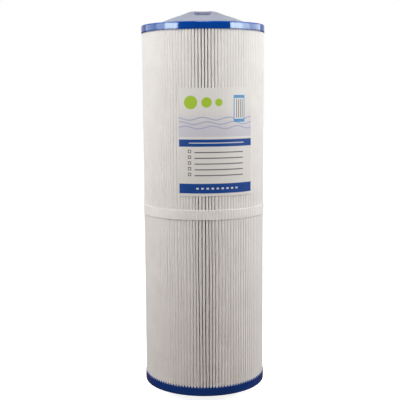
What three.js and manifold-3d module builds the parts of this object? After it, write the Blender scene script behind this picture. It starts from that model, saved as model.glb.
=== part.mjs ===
// A pleated filter cartridge for a spa, built the way the real one comes apart: two cast
// urethane end caps, a stacked core, one pleated sheet, a retaining band, a label, a moulded
// cone handle and a threaded outlet. Millimetres, +Z up. The origin is the centre of the
// outlet's end face, which is what the cartridge stands on.
import * as THREE from "three";
import { mergeVertices } from "three/addons/utils/BufferGeometryUtils.js";
import Module from "manifold-3d";

const wasm = await Module();
wasm.setup();

// ---------------------------------------------------------------- driving dimensions
const clearance = 0.3; // between any two separate pieces
const joinDepth = 1; // how far a shape is carried past a face before it is joined or cut
const arcSteps = 4; // straight stretches in each rounded corner

const cartridge = {
  capToCap: 370, // outer face of one end cap to the outer face of the other
  diameter: 125.4, // over the end caps
};
const endCap = {
  skirt: 8, // height of the visible rim
  plate: 5, // urethane between the outer face and the pleat ends
  rimWall: 0.6, // urethane outside the pleat tips
  collar: 14.7, // urethane left showing round the cone
  edgeRadius: 1.2,
  segments: 60,
};
const pleats = {
  count: 124,
  sheet: 0.5, // thickness of the polyester sheet
  tipWidth: 1.5, // over both legs of one pleat at its tip
  valleyGap: 0.2, // between two neighbouring pleats at the core
};
const core = {
  bore: 51.2, // diameter
  wall: 3,
  sections: 4,
  columns: 8, // windows round the section
  rows: 3, // windows up the section
  ring: 8, // height of the ring between two rows of windows
  facetsPerWindow: 2,
  lipHeight: 5, // the locating lip that stands up into the next section
  lipWall: 1.3,
};
const outlet = {
  threadDiameter: 48.26, // 1 1/2 inch pipe
  wall: 3.7, // from the root of the thread in to the bore
  threadPitch: 25.4 / 11.5,
  threadDepth: 1.4,
  threadCrest: 0.25, // flat at the crest
  threadRoot: 0.2, // flat at the root
  threadTaper: 1 / 16, // change of diameter along the axis
  reach: 13, // how far it stands out of the end cap
  shoulder: 1, // plain stretch between the thread and the end cap
  leadChamfer: 1,
  flange: 2.2, // thickness
  flangeReach: 5.4, // beyond the core, which stands on it
  sleeve: 8, // stands up inside the core
  stepsPerTurn: 32,
  segments: 32,
};
const cone = {
  height: 14.1, // above the end cap's outer face
  crownDiameter: 23, // where the flank would meet the flat crown, before rounding
  crownRounding: 40,
  wall: 2.2,
  lip: 1.2, // urethane over the flange
  flange: 1.7, // thickness
  flangeReach: 4, // beyond the cone's base
  hubWall: 2.3,
  hubDepth: 8, // below the end cap, inside the core
  segments: 60,
};
const wells = {
  width: 15,
  grip: 8, // thickness of the web between the two wells
  reach: 28.5, // outer end, from the axis
  floor: 3, // above the end cap's outer face
  cornerRadius: 4,
};
const keys = {
  radius: 3, // the round notches that lock an insert's flange in the urethane
  count: 6,
  segments: 12,
};
const band = {
  height: 10,
  thickness: 0.5,
  belowMiddle: 1.4, // its middle from the cartridge's
  segments: 72,
};
const label = {
  width: 77.2, // along the curve
  height: 105,
  thickness: 0.25,
  aboveBand: 13.5,
  turn: 13.2, // degrees from the front to the label's middle, anticlockwise from above
  segments: 24,
};

// ---------------------------------------------------------------- what follows from them
const capRadius = cartridge.diameter / 2;
const bottomFace = outlet.reach;
const topFace = bottomFace + cartridge.capToCap;
const grooveRadius = capRadius - endCap.rimWall;
const mediaRadius = grooveRadius - clearance;
const skinRadius = mediaRadius + clearance; // where the band and the label lie
const coreInner = core.bore / 2;
const coreOuter = coreInner + core.wall;
const mediaInner = coreOuter + clearance;
const innerBottom = bottomFace + endCap.plate + clearance; // where the core and the sheet begin
const innerTop = topFace - endCap.plate - clearance;
const coreFacets = core.columns * (core.facetsPerWindow + 1);
const coreApothem = coreInner * Math.cos(Math.PI / coreFacets); // the bore has flats
const insertRadius = coreApothem - clearance; // anything that stands inside the core
const neckRadius = outlet.threadDiameter / 2;
const outletFlangeRadius = coreOuter + outlet.flangeReach;
const coneRadius = capRadius - endCap.collar;
const coneFlangeRadius = coneRadius + cone.flangeReach;
const bandBottom = bottomFace + cartridge.capToCap / 2 - band.belowMiddle - band.height / 2;
const bandTop = bandBottom + band.height;
const labelBottom = bandTop + label.aboveBand;

// ---------------------------------------------------------------- solids
// A closed geometry as a manifold solid. Only the positions are kept.
function solid(geometry) {
  const bare = geometry.clone();
  for (const name of Object.keys(bare.attributes)) {
    if (name !== "position") bare.deleteAttribute(name);
  }
  const merged = mergeVertices(bare, 1e-4);
  const triVerts = new Uint32Array(merged.index.array);
  const vertProperties = new Float32Array(merged.attributes.position.array);
  return new wasm.Manifold(new wasm.Mesh({ numProp: 3, vertProperties, triVerts }));
}

function geometryOf(shape) {
  const mesh = shape.getMesh();
  const position = new THREE.BufferAttribute(new Float32Array(mesh.vertProperties), 3);
  const geometry = new THREE.BufferGeometry().setAttribute("position", position);
  geometry.setIndex(new THREE.BufferAttribute(new Uint32Array(mesh.triVerts), 1));
  geometry.computeVertexNormals();
  return geometry;
}

// A solid of revolution about Z. The outline is a list of [radius, z], clockwise when
// radius runs to the right and z up, and it closes on itself.
function turned(outline, segments) {
  const points = [...outline, outline[0]].map(([r, z]) => new THREE.Vector2(r, z));
  return solid(new THREE.LatheGeometry(points.reverse(), segments).rotateX(Math.PI / 2));
}

function cylinder(radius, bottom, top, segments) {
  return turned([[0, bottom], [0, top], [radius, top], [radius, bottom]], segments);
}

function peg(radius, bottom, top, x, y) {
  const geometry = new THREE.CylinderGeometry(radius, radius, top - bottom, keys.segments);
  return solid(geometry.rotateX(Math.PI / 2).translate(x, y, (bottom + top) / 2));
}

function prism(shape, bottom, top) {
  const options = { depth: top - bottom, bevelEnabled: false, curveSegments: arcSteps };
  return solid(new THREE.ExtrudeGeometry(shape, options).translate(0, 0, bottom));
}

// An arc from one direction to another, as [radius, z] points, both ends included.
function arc(centreR, centreZ, radius, from, to) {
  const points = [];
  for (let i = 0; i <= arcSteps; i++) {
    const angle = from + ((to - from) * i) / arcSteps;
    points.push([centreR + radius * Math.cos(angle), centreZ + radius * Math.sin(angle)]);
  }
  return points;
}

// Upright pegs on a circle: the notches in a flange, or the lugs that fill them.
function pegs(circleRadius, pegRadius, bottom, top) {
  let all = null;
  for (let i = 0; i < keys.count; i++) {
    const angle = (2 * Math.PI * i) / keys.count;
    const x = circleRadius * Math.cos(angle);
    const y = circleRadius * Math.sin(angle);
    const next = peg(pegRadius, bottom, top, x, y);
    all = all ? all.add(next) : next;
  }
  return all;
}

// ---------------------------------------------------------------- end caps
// A cap with its outer face at z 0. Its rim stands up round the pleat ends.
function capBlank(holeRadius) {
  const { edgeRadius } = endCap;
  const corner = arc(capRadius - edgeRadius, edgeRadius, edgeRadius, 0, -Math.PI / 2);
  const outline = [
    [holeRadius, 0],
    [holeRadius, endCap.plate],
    [grooveRadius, endCap.plate],
    [grooveRadius, endCap.skirt],
    [capRadius, endCap.skirt],
    ...corner,
  ];
  return turned(outline, endCap.segments);
}

// The pocket that an insert's flange is cast into, with the lugs that fill its notches.
function flangePocket(flangeRadius, bottom, top) {
  const room = cylinder(flangeRadius + clearance, bottom, top, endCap.segments);
  const lugs = pegs(flangeRadius, keys.radius - clearance, bottom - joinDepth, top + joinDepth);
  return room.subtract(lugs);
}

function bottomEndCap() {
  const pocketFloor = endCap.plate - outlet.flange - clearance;
  const pocket = flangePocket(outletFlangeRadius, pocketFloor, endCap.plate + joinDepth);
  return geometryOf(capBlank(neckRadius + clearance).subtract(pocket));
}

function topEndCap() {
  const mouth = cylinder(coneRadius + clearance, -joinDepth, cone.lip, endCap.segments);
  const pocket = flangePocket(coneFlangeRadius, cone.lip, cone.lip + cone.flange + 2 * clearance);
  return geometryOf(capBlank(coreInner).subtract(mouth).subtract(pocket)).rotateX(Math.PI);
}

// ---------------------------------------------------------------- pleated sheet
// One closed sheet, folded out to the tips and back to the core. A point is given by the
// pleat's own direction, the radius along it and the offset across it.
function pleatPoint(index, radius, offset) {
  const angle = (2 * Math.PI * index) / pleats.count;
  const x = radius * Math.cos(angle) - offset * Math.sin(angle);
  const y = radius * Math.sin(angle) + offset * Math.cos(angle);
  return new THREE.Vector2(x, y);
}

function pleatedMedia() {
  const foldRadius = mediaInner + pleats.sheet; // the floor of a valley, seen from outside
  const legAtFold = (Math.PI * foldRadius) / pleats.count - pleats.valleyGap / 2;
  const legAtTip = pleats.tipWidth / 2;
  const outside = [];
  const inside = [];
  for (let i = 0; i < pleats.count; i++) {
    outside.push(
      pleatPoint(i, foldRadius, -legAtFold),
      pleatPoint(i, mediaRadius, -legAtTip),
      pleatPoint(i, mediaRadius, legAtTip),
      pleatPoint(i, foldRadius, legAtFold),
    );
    inside.push(
      pleatPoint(i, mediaInner, -(legAtFold - pleats.sheet)),
      pleatPoint(i, mediaRadius - pleats.sheet, -(legAtTip - pleats.sheet)),
      pleatPoint(i, mediaRadius - pleats.sheet, legAtTip - pleats.sheet),
      pleatPoint(i, mediaInner, legAtFold - pleats.sheet),
    );
  }
  const shape = new THREE.Shape(outside);
  shape.holes.push(new THREE.Path(inside));
  return geometryOf(prism(shape, innerBottom, innerTop));
}

// ---------------------------------------------------------------- core
const sectionPitch = (innerTop - innerBottom + clearance) / core.sections;
const sectionHeight = sectionPitch - clearance;

// One window, as a wedge that reaches through the wall.
function coreWindow(column, bottom, top) {
  const facet = (2 * Math.PI) / coreFacets;
  const start = column * (core.facetsPerWindow + 1) * facet;
  const end = start + core.facetsPerWindow * facet;
  const near = coreInner - joinDepth;
  const far = (coreOuter + joinDepth) / Math.cos((end - start) / 2);
  const shape = new THREE.Shape([
    new THREE.Vector2(near * Math.cos(start), near * Math.sin(start)),
    new THREE.Vector2(far * Math.cos(start), far * Math.sin(start)),
    new THREE.Vector2(far * Math.cos(end), far * Math.sin(end)),
    new THREE.Vector2(near * Math.cos(end), near * Math.sin(end)),
  ]);
  return prism(shape, bottom, top);
}

// A cage with a socket at its foot and, unless it is the last one, a lip at its head.
function coreSection(isLast) {
  const lipOuter = coreInner + core.lipWall;
  const socketRadius = lipOuter + clearance;
  const socketDepth = core.lipHeight + clearance;
  const head = isLast
    ? [[coreInner, sectionHeight]]
    : [
        [coreInner, sectionHeight + core.lipHeight],
        [lipOuter, sectionHeight + core.lipHeight],
        [lipOuter, sectionHeight],
      ];
  let cage = turned(
    [
      [socketRadius, 0],
      [socketRadius, socketDepth],
      [coreInner, socketDepth],
      ...head,
      [coreOuter, sectionHeight],
      [coreOuter, 0],
    ],
    coreFacets,
  );
  const windowPitch = (sectionHeight - core.ring) / core.rows;
  for (let row = 0; row < core.rows; row++) {
    const bottom = core.ring + row * windowPitch;
    const top = bottom + windowPitch - core.ring;
    for (let column = 0; column < core.columns; column++) {
      cage = cage.subtract(coreWindow(column, bottom, top));
    }
  }
  return geometryOf(cage);
}

// ---------------------------------------------------------------- threaded outlet
// The ridge of a tapered right-hand thread: a four-sided profile carried up a helix. It
// starts a turn below the free end, where the envelope trims it.
function threadRidge(threadTop) {
  const { threadPitch, threadDepth, threadCrest, threadRoot, threadTaper, stepsPerTurn } = outlet;
  const start = -threadPitch;
  const steps = Math.ceil(((threadTop - start) / threadPitch) * stepsPerTurn);
  const buried = threadRoot; // below the root, so that the ridge joins the body
  const halfFoot = (threadPitch - threadRoot) / 2;
  const position = [];
  for (let i = 0; i <= steps; i++) {
    const angle = (2 * Math.PI * i) / stepsPerTurn;
    const z = start + (threadPitch * i) / stepsPerTurn;
    const crest = neckRadius - ((threadTop - z) * threadTaper) / 2;
    const foot = crest - threadDepth - buried;
    for (const [r, dz] of [
      [foot, -halfFoot],
      [crest, -threadCrest / 2],
      [crest, threadCrest / 2],
      [foot, halfFoot],
    ]) {
      position.push(r * Math.cos(angle), r * Math.sin(angle), z + dz);
    }
  }
  const index = [];
  for (let i = 0; i < steps; i++) {
    for (let side = 0; side < 4; side++) {
      const a = 4 * i + side;
      const b = 4 * i + ((side + 1) % 4);
      index.push(a, a + 4, b, b, a + 4, b + 4);
    }
  }
  const last = 4 * steps;
  index.push(0, 1, 2, 0, 2, 3, last, last + 2, last + 1, last, last + 3, last + 2);
  const geometry = new THREE.BufferGeometry().setIndex(index);
  geometry.setAttribute("position", new THREE.Float32BufferAttribute(position, 3));
  return solid(geometry);
}

function threadedOutlet() {
  const bore = neckRadius - outlet.threadDepth - outlet.wall;
  const threadTop = outlet.reach - outlet.shoulder;
  const endRadius = neckRadius - (threadTop * outlet.threadTaper) / 2;
  const seat = bottomFace + endCap.plate; // the flange's upper face, under the core
  const body = turned(
    [
      [bore, 0],
      [bore, seat + outlet.sleeve],
      [insertRadius, seat + outlet.sleeve],
      [insertRadius, seat],
      [outletFlangeRadius, seat],
      [outletFlangeRadius, seat - outlet.flange],
      [neckRadius, seat - outlet.flange],
      [neckRadius, threadTop],
      [neckRadius - outlet.threadDepth, threadTop],
      [endRadius - outlet.threadDepth, 0],
    ],
    outlet.segments,
  );
  const envelope = turned(
    [
      [bore + joinDepth, 0],
      [bore + joinDepth, threadTop + joinDepth / 2],
      [neckRadius, threadTop + joinDepth / 2],
      [neckRadius, threadTop],
      [endRadius, outlet.leadChamfer],
      [endRadius - outlet.leadChamfer, 0],
    ],
    outlet.segments,
  );
  const flangeNotches = pegs(outletFlangeRadius, keys.radius, seat - 2 * outlet.flange, seat + joinDepth);
  const thread = threadRidge(threadTop).intersect(envelope);
  return geometryOf(body.add(thread).subtract(flangeNotches));
}

// ---------------------------------------------------------------- cone handle
// Height of the flank above the end cap at a radius, before the crown is rounded.
const flankSlope = cone.height / (coneRadius - cone.crownDiameter / 2);
const flankHeight = (radius) => (coneRadius - radius) * flankSlope;

// A finger well's plan, grown by `skin` for the wall that lines it. `side` is -1 or 1.
function wellPlan(side, skin) {
  const halfWidth = wells.width / 2 + skin;
  const near = wells.grip / 2 - skin;
  const far = wells.reach + skin;
  const r = wells.cornerRadius + skin;
  const shape = new THREE.Shape();
  const y = (distance) => side * distance;
  shape.moveTo(-halfWidth + r, y(near));
  shape.lineTo(halfWidth - r, y(near));
  shape.quadraticCurveTo(halfWidth, y(near), halfWidth, y(near + r));
  shape.lineTo(halfWidth, y(far - r));
  shape.quadraticCurveTo(halfWidth, y(far), halfWidth - r, y(far));
  shape.lineTo(-halfWidth + r, y(far));
  shape.quadraticCurveTo(-halfWidth, y(far), -halfWidth, y(far - r));
  shape.lineTo(-halfWidth, y(near + r));
  shape.quadraticCurveTo(-halfWidth, y(near), -halfWidth + r, y(near));
  return shape;
}

function coneHandle() {
  const slope = Math.atan(flankSlope);
  const drop = cone.wall / Math.cos(slope); // the wall's thickness, measured upright
  const tangent = cone.crownRounding * Math.tan(slope / 2);
  const hubInner = insertRadius - cone.hubWall;
  const flangeTop = -cone.lip - clearance;
  const flangeBottom = flangeTop - cone.flange;
  const hubBottom = -endCap.plate - cone.hubDepth;
  const innerWall = coneRadius - cone.wall;
  const crown = arc(
    cone.crownDiameter / 2 - tangent, cone.height - cone.crownRounding, cone.crownRounding,
    Math.PI / 2, Math.PI / 2 - slope,
  );
  const outside = [
    [0, cone.height],
    ...crown,
    [coneRadius, 0],
    [coneRadius, flangeTop],
    [coneFlangeRadius, flangeTop],
    [coneFlangeRadius, flangeBottom],
    [innerWall, flangeBottom],
    [innerWall, flankHeight(innerWall) - drop],
    [insertRadius, flankHeight(insertRadius) - drop],
    [insertRadius, hubBottom],
    [hubInner, hubBottom],
    [hubInner, flankHeight(hubInner) - drop],
    [cone.crownDiameter / 2, cone.height - drop],
    [0, cone.height - drop],
  ];
  // The full outer body, to trim what lines the wells.
  const envelope = turned(
    [[0, hubBottom], [0, cone.height], ...crown, [coneRadius, 0], [coneRadius, hubBottom]],
    cone.segments,
  );
  let handle = turned(outside, cone.segments);
  for (const side of [-1, 1]) {
    const lining = prism(wellPlan(side, cone.wall), wells.floor - cone.wall, cone.height);
    handle = handle.add(lining.intersect(envelope));
  }
  for (const side of [-1, 1]) {
    handle = handle.subtract(prism(wellPlan(side, 0), wells.floor, cone.height + joinDepth));
  }
  const notches = pegs(coneFlangeRadius, keys.radius, flangeBottom - joinDepth, flangeTop + joinDepth);
  return geometryOf(handle.subtract(notches));
}

// ---------------------------------------------------------------- band and label
function retainingBand() {
  const outer = skinRadius + band.thickness;
  const ring = [[skinRadius, bandBottom], [skinRadius, bandTop], [outer, bandTop], [outer, bandBottom]];
  return geometryOf(turned(ring, band.segments));
}

function labelSheet() {
  const spread = label.width / skinRadius;
  const middle = -Math.PI / 2 + THREE.MathUtils.degToRad(label.turn);
  const inner = [];
  const outer = [];
  for (let i = 0; i <= label.segments; i++) {
    const angle = middle + spread * (i / label.segments - 0.5);
    const direction = new THREE.Vector2(Math.cos(angle), Math.sin(angle));
    inner.push(direction.clone().multiplyScalar(skinRadius));
    outer.push(direction.clone().multiplyScalar(skinRadius + label.thickness));
  }
  const shape = new THREE.Shape([...outer, ...inner.reverse()]);
  return geometryOf(prism(shape, labelBottom, labelBottom + label.height));
}

// ---------------------------------------------------------------- the assembly
const materials = {
  urethane: { color: 0x0a4fb0, roughness: 0.35, metalness: 0 },
  polyester: { color: 0xe9e7e2, roughness: 0.95, metalness: 0 },
  abs: { color: 0xf0f0ee, roughness: 0.5, metalness: 0 },
  conePlastic: { color: 0xd4d7e2, roughness: 0.35, metalness: 0 },
  strap: { color: 0xf2f1ec, roughness: 0.6, metalness: 0 },
  film: { color: 0xf4f2ee, roughness: 0.4, metalness: 0 },
};

const assembly = new THREE.Group();

function place(name, geometry, finish, z = 0) {
  const mesh = new THREE.Mesh(geometry, new THREE.MeshStandardMaterial(finish));
  mesh.name = name;
  mesh.position.z = z;
  assembly.add(mesh);
}

place("bottom_end_cap", bottomEndCap(), materials.urethane, bottomFace);
place("top_end_cap", topEndCap(), materials.urethane, topFace);
place("pleated_media", pleatedMedia(), materials.polyester);
for (let i = 0; i < core.sections; i++) {
  const section = coreSection(i === core.sections - 1);
  place(`core_section_${i + 1}`, section, materials.abs, innerBottom + i * sectionPitch);
}
place("threaded_outlet", threadedOutlet(), materials.abs);
place("cone_handle", coneHandle(), materials.conePlastic, topFace);
place("retaining_band", retainingBand(), materials.strap);
place("label", labelSheet(), materials.film);

export default assembly;
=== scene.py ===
"""A pleated filter cartridge for pool and spa equipment, standing on its threaded outlet.

Metres, +Z up along the cartridge, -Y is the front. Sizes below are in millimetres and are
turned into metres where a mesh is made.
"""

import math

import bmesh
import bpy
from mathutils import Matrix, Vector


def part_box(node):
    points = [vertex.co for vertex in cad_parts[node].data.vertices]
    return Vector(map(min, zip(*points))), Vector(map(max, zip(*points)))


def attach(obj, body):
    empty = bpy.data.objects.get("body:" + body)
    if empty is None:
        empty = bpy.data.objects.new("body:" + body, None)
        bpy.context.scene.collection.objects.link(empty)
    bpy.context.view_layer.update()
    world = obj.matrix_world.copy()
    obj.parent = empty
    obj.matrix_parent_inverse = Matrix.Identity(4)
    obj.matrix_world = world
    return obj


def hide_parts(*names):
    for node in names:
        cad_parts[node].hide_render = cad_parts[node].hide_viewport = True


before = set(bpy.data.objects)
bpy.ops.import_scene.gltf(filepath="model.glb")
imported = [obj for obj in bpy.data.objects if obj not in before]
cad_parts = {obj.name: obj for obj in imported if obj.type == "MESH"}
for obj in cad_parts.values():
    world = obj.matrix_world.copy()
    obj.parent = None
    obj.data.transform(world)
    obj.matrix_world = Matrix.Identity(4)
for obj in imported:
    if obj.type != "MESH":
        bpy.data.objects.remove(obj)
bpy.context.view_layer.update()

# -------- sizes, in millimetres
MM = 0.001
TURN = 2 * math.pi


def box_mm(node):
    """A node's lowest and highest corners, in millimetres."""
    low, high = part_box(node)
    return low / MM, high / MM


CAP_RADIUS = box_mm("bottom_end_cap")[1].x
BOTTOM_FACE = box_mm("bottom_end_cap")[0].z
BOTTOM_SKIRT = box_mm("bottom_end_cap")[1].z
TOP_SKIRT = box_mm("top_end_cap")[0].z
TOP_FACE = box_mm("top_end_cap")[1].z
MEDIA_LOW, MEDIA_HIGH = (corner.z for corner in box_mm("pleated_media"))
TIP_PROUD = 0.4  # the rounded tips stand a little proud of the sheet's flat folds
MEDIA_RADIUS = box_mm("pleated_media")[1].x + TIP_PROUD
CROWN = box_mm("cone_handle")[1].z - TOP_FACE
HUB_FOOT = box_mm("cone_handle")[0].z - TOP_FACE
BAND_LOW, BAND_HIGH = (corner.z for corner in box_mm("retaining_band"))
LABEL_LOW, LABEL_HIGH = (corner.z for corner in box_mm("label"))
CORE_RADIUS = box_mm("core_section_1")[1].x
OUTLET_HEAD = box_mm("threaded_outlet")[1].z

CLEARANCE = 0.3  # between pieces that fit into each other
PLEATS = 124
SHEET = 0.45  # thickness of the pleated sheet
CAP_FLOOR = 5.0  # urethane between a cap's outer face and the pleat ends
CONE_RADIUS = 48.0
CONE_WALL = 2.2
THREAD_PITCH = 25.4 / 11.5
THREAD_DEPTH = 1.4
THREAD_TAPER = 1 / 16  # on the diameter
NECK_RADIUS = 48.26 / 2
NECK_WALL = 3.7  # under the thread
BORE_RADIUS = NECK_RADIUS - THREAD_DEPTH - NECK_WALL
SHARP_DEGREES = 35  # a moulded edge sharper than this shows as an edge


# -------- meshes
def added(name, data):
    """A new object in the scene."""
    made = bpy.data.objects.new(name, data)
    bpy.context.collection.objects.link(made)
    return made


def piece(name, points, faces, material):
    """A new smooth object from points in millimetres."""
    mesh = bpy.data.meshes.new(name)
    mesh.from_pydata([[value * MM for value in point] for point in points], [], faces)
    mesh.materials.append(material)
    mesh.shade_smooth()
    mesh.validate()
    return added(name, mesh)


def ring_faces(low, high, count):
    """The faces between two rings of points, given each ring's first point."""
    pairs = [(j, (j + 1) % count) for j in range(count)]
    return [(low + j, low + k, high + k, high + j) for j, k in pairs]


def skin(rings, closes=False):
    """Points and faces of a wall over rings of equal count, each one round the axis.

    A ring runs anticlockwise seen from above, and the faces point out where the rings go
    up. If the wall closes, its last ring meets its first. If not, its ends are capped.
    """
    count = len(rings[0])
    points = [point for ring in rings for point in ring]
    pairs = [(i, i + 1) for i in range(len(rings) - 1)]
    if closes:
        pairs.append((len(rings) - 1, 0))
    faces = []
    for low, high in pairs:
        faces += ring_faces(low * count, high * count, count)
    if not closes:
        for end, step in ((0, -1), (len(rings) - 1, 1)):
            centre = len(points)
            ring = rings[end]
            points.append([sum(point[axis] for point in ring) / count for axis in range(3)])
            for j in range(count):
                side = (end * count + j, end * count + (j + 1) % count)
                faces.append((*side[::step], centre))
    return points, faces


def grid_faces(rows, columns):
    """The faces of an open grid of rows + 1 by columns + 1 points."""
    width = columns + 1
    faces = []
    for row in range(rows):
        for column in range(columns):
            a = row * width + column
            faces.append((a, a + 1, a + width + 1, a + width))
    return faces


def welded(made):
    """Joins points that lie together, and drops the faces that this closes up."""
    touching = 0.002 * MM
    mesh = bmesh.new()
    mesh.from_mesh(made.data)
    bmesh.ops.remove_doubles(mesh, verts=mesh.verts, dist=touching)
    bmesh.ops.dissolve_degenerate(mesh, edges=mesh.edges, dist=touching)
    bmesh.ops.recalc_face_normals(mesh, faces=mesh.faces)
    mesh.to_mesh(made.data)
    mesh.free()
    return made


def crisp(made):
    """Keeps sharp edges, and shades the rest smooth."""
    made.data.shade_smooth()
    made.data.set_sharp_from_angle(angle=math.radians(SHARP_DEGREES))
    return made


def at(radius, angle, z):
    """The point at a radius, an angle round the axis and a height."""
    return (radius * math.cos(angle), radius * math.sin(angle), z)


def circle(radius, z, count):
    """A ring of points, or a wavy one where radius or z is a rule of the angle."""
    ring = []
    for j in range(count):
        angle = TURN * j / count
        r = radius(angle) if callable(radius) else radius
        height = z(angle) if callable(z) else z
        ring.append(at(r, angle, height))
    return ring


def arc(centre_r, centre_z, radius, start, end, steps):
    """Points (radius, z) along an arc, its angles in degrees, both ends included."""
    points = []
    for i in range(steps + 1):
        angle = math.radians(start + (end - start) * i / steps)
        points.append((centre_r + radius * math.cos(angle), centre_z + radius * math.sin(angle)))
    return points


def smooth_step(low, high, value):
    """Rises smoothly from 0 at low to 1 at high."""
    share = min(max((value - low) / (high - low), 0), 1)
    return share * share * (3 - 2 * share)


# -------- node trees
def add_node(tree, kind, values=None, **settings):
    """A new node. A value that is a socket is linked, and any other is set."""
    new = tree.nodes.new(kind)
    for key, value in settings.items():
        setattr(new, key, value)
    for key, value in (values or {}).items():
        if isinstance(value, bpy.types.NodeSocket):
            tree.links.new(value, new.inputs[key])
        else:
            new.inputs[key].default_value = value
    return new


def maths(tree, operation, *values):
    return add_node(tree, "ShaderNodeMath", dict(enumerate(values)), operation=operation).outputs[0]


def product(tree, *values):
    """The values multiplied together, from left to right."""
    result = values[0]
    for value in values[1:]:
        result = maths(tree, "MULTIPLY", result, value)
    return result


def vector_maths(tree, operation, *values, scale=None):
    node = add_node(tree, "ShaderNodeVectorMath", dict(enumerate(values)), operation=operation)
    if scale is not None:
        tree.links.new(scale, node.inputs["Scale"])
    return node.outputs["Value" if operation == "LENGTH" else 0]


def remap(tree, value, low, high, to_low=0.0, to_high=1.0, ease="LINEAR"):
    values = {"Value": value, "From Min": low, "From Max": high, "To Min": to_low, "To Max": to_high}
    return add_node(tree, "ShaderNodeMapRange", values, interpolation_type=ease).outputs[0]


def combine(tree, x=0.0, y=0.0, z=0.0):
    return add_node(tree, "ShaderNodeCombineXYZ", {"X": x, "Y": y, "Z": z}).outputs[0]


def separate(tree, vector):
    return add_node(tree, "ShaderNodeSeparateXYZ", {0: vector}).outputs


def noise(tree, vector, scale, detail=2.0, roughness=0.5):
    values = {"Vector": vector, "Scale": scale, "Detail": detail, "Roughness": roughness}
    return add_node(tree, "ShaderNodeTexNoise", values).outputs["Fac"]


def mix_colour(tree, share, first, second):
    """First at share 0 and second at 1. Each is a socket, or red, green and blue."""
    colours = [(*colour, 1) if isinstance(colour, tuple) else colour for colour in (first, second)]
    values = {0: share, 6: colours[0], 7: colours[1]}
    return add_node(tree, "ShaderNodeMix", values, data_type="RGBA").outputs[2]


def placed(tree, group, values):
    """A shader group placed in a material, with its values."""
    return add_node(tree, "ShaderNodeGroup", values, node_tree=group).outputs


def new_tree(name, kind, inputs, outputs):
    """An empty group tree, with its inputs' and its outputs' sockets."""
    tree = bpy.data.node_groups.new(name, kind)
    for way, sockets in (("INPUT", inputs), ("OUTPUT", outputs)):
        for label, sort in sockets.items():
            tree.interface.new_socket(name=label, in_out=way, socket_type="NodeSocket" + sort)
    return tree, tree.nodes.new("NodeGroupInput").outputs, tree.nodes.new("NodeGroupOutput").inputs


def points_with_index(tree, count):
    """A number of points, and each one's index."""
    points = add_node(tree, "GeometryNodePoints", {"Count": count}).outputs[0]
    return points, tree.nodes.new("GeometryNodeInputIndex").outputs[0]


def turned_copies(tree, points, shape, angle):
    """A copy of a shape at each point, turned about the axis."""
    turned = add_node(tree, "FunctionNodeEulerToRotation", {0: combine(tree, z=angle)}).outputs[0]
    values = {"Points": points, "Instance": shape, "Rotation": turned}
    return add_node(tree, "GeometryNodeInstanceOnPoints", values).outputs[0]


def realized(tree, geometry):
    return add_node(tree, "GeometryNodeRealizeInstances", {0: geometry}).outputs[0]


def end_tree(tree, geometry, material, result):
    """Ends a tree in plain geometry with its material."""
    values = {"Geometry": realized(tree, geometry), "Material": material}
    tree.links.new(add_node(tree, "GeometryNodeSetMaterial", values).outputs[0], result)


def grown(name, start, tree, values):
    """The plain object that a geometry tree grows from a starting one."""
    modifier = start.modifiers.new("Grow", "NODES")
    modifier.node_group = tree
    for item in tree.interface.items_tree:
        if item.name in values:
            modifier[item.identifier] = values[item.name]
    evaluated = start.evaluated_get(bpy.context.evaluated_depsgraph_get())
    mesh = bpy.data.meshes.new_from_object(evaluated)
    bpy.data.objects.remove(start)
    return added(name, mesh)


# -------- shared shader effects
def spun_fibre_group():
    """Filaments laid at random, as in a spun polyester sheet, and its cloudy thickness."""
    inputs = {"Coordinates": "Vector", "Fineness": "Float"}
    outputs = {"Filaments": "Float", "Clouds": "Float"}
    tree, given, out = new_tree("Spun fibre", "ShaderNodeTree", inputs, outputs)
    layers = []
    for turn, stretch in ((0.5, (1, 0.16, 0.16)), (1.9, (0.16, 1, 0.16)), (2.7, (0.16, 0.16, 1))):
        turned = add_node(tree, "ShaderNodeMapping", {
            "Vector": given["Coordinates"], "Rotation": (turn, turn / 2, turn), "Scale": stretch})
        layers.append(noise(tree, turned.outputs[0], given["Fineness"], 3.0, 0.6))
    strands = maths(tree, "MAXIMUM", layers[0], maths(tree, "MAXIMUM", layers[1], layers[2]))
    tree.links.new(remap(tree, strands, 0.45, 0.75), out["Filaments"])
    clouds = noise(tree, given["Coordinates"], product(tree, given["Fineness"], 0.06), 3.0)
    tree.links.new(remap(tree, clouds, 0.3, 0.7), out["Clouds"])
    return tree


def moulded_skin_group():
    """The slow swirl and the fine grain of a cast or moulded surface."""
    inputs = {"Coordinates": "Vector", "Swirl size": "Float", "Grain size": "Float"}
    outputs = {"Swirl": "Float", "Grain": "Float"}
    tree, given, out = new_tree("Moulded skin", "ShaderNodeTree", inputs, outputs)
    slow = maths(tree, "DIVIDE", 1.0, given["Swirl size"])
    fine = maths(tree, "DIVIDE", 1.0, given["Grain size"])
    bent = noise(tree, given["Coordinates"], slow, 2.0)
    shifted = vector_maths(tree, "ADD", given["Coordinates"], combine(tree, product(tree, bent, 0.02)))
    swirl = noise(tree, shifted, slow, 3.0, 0.55)
    tree.links.new(remap(tree, swirl, 0.3, 0.7), out["Swirl"])
    tree.links.new(noise(tree, given["Coordinates"], fine, 3.0, 0.6), out["Grain"])
    return tree


def print_group(name, sizes):
    """An empty group for print on the label, its inputs in millimetres."""
    names = ("Across", "Up") + sizes
    return new_tree(name, "ShaderNodeTree", dict.fromkeys(names, "Float"), {"Ink": "Float"})


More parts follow.
